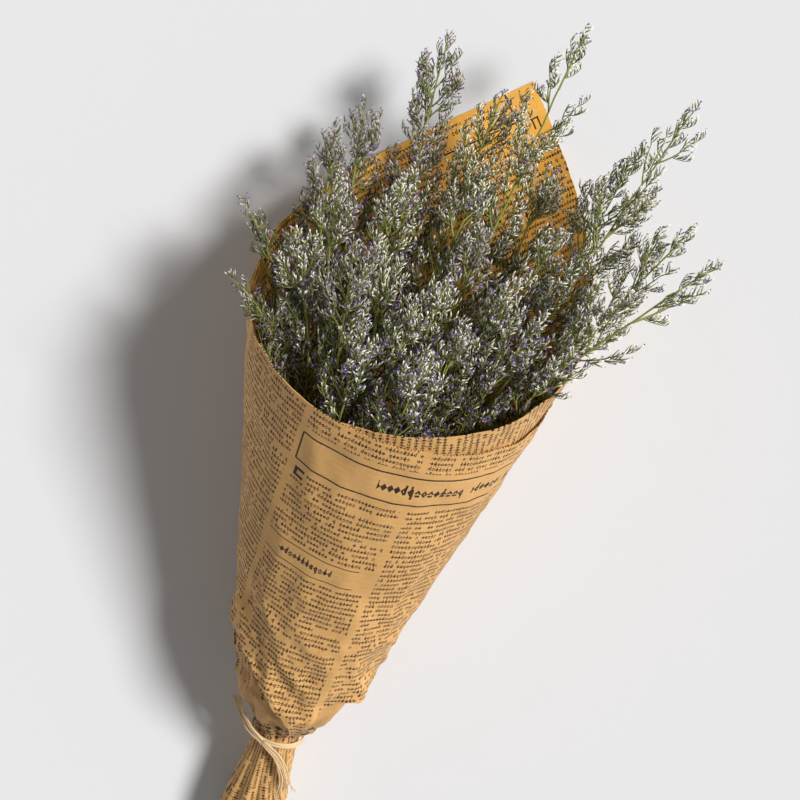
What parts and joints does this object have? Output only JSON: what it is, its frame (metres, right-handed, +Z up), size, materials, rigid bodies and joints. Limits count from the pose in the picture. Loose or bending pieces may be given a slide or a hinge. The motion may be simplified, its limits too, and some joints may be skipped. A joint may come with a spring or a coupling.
{
  "type": "dried flower bouquet",
  "caption": "Bunch of dried statice rolled in a cone of printed kraft paper and tied with raffia, lying on its back, for decorating a room.",
  "frame": {"origin": "middle of the part's box, on the surface it lies on", "axes": "+Y along the bouquet from its tail to its flowers, +X to the right seen from above with the flowers up, +Z up from the surface"},
  "size_m": [0.2014, 0.4395, 0.1348],
  "materials": {
    "kraft_paper": "matt, printed on both faces",
    "raffia": "dry fibre, slightly shiny",
    "statice": "dry stems with papery spikelets"
  },
  "bodies": {
    "root": {"paper_wrap": "kraft_paper", "raffia_tie": "raffia", "spray_01": "statice", "spray_02": "statice", "spray_03": "statice", "spray_04": "statice", "spray_05": "statice", "spray_06": "statice", "spray_07": "statice", "spray_08": "statice", "spray_09": "statice", "spray_10": "statice", "spray_11": "statice", "spray_12": "statice", "spray_13": "statice", "spray_14": "statice", "spray_15": "statice", "spray_16": "statice", "spray_17": "statice", "spray_18": "statice", "spray_19": "statice", "spray_20": "statice", "spray_21": "statice", "spray_22": "statice", "spray_23": "statice", "spray_24": "statice", "spray_25": "statice", "spray_26": "statice", "spray_27": "statice", "spray_28": "statice"}
  },
  "joints": []
}
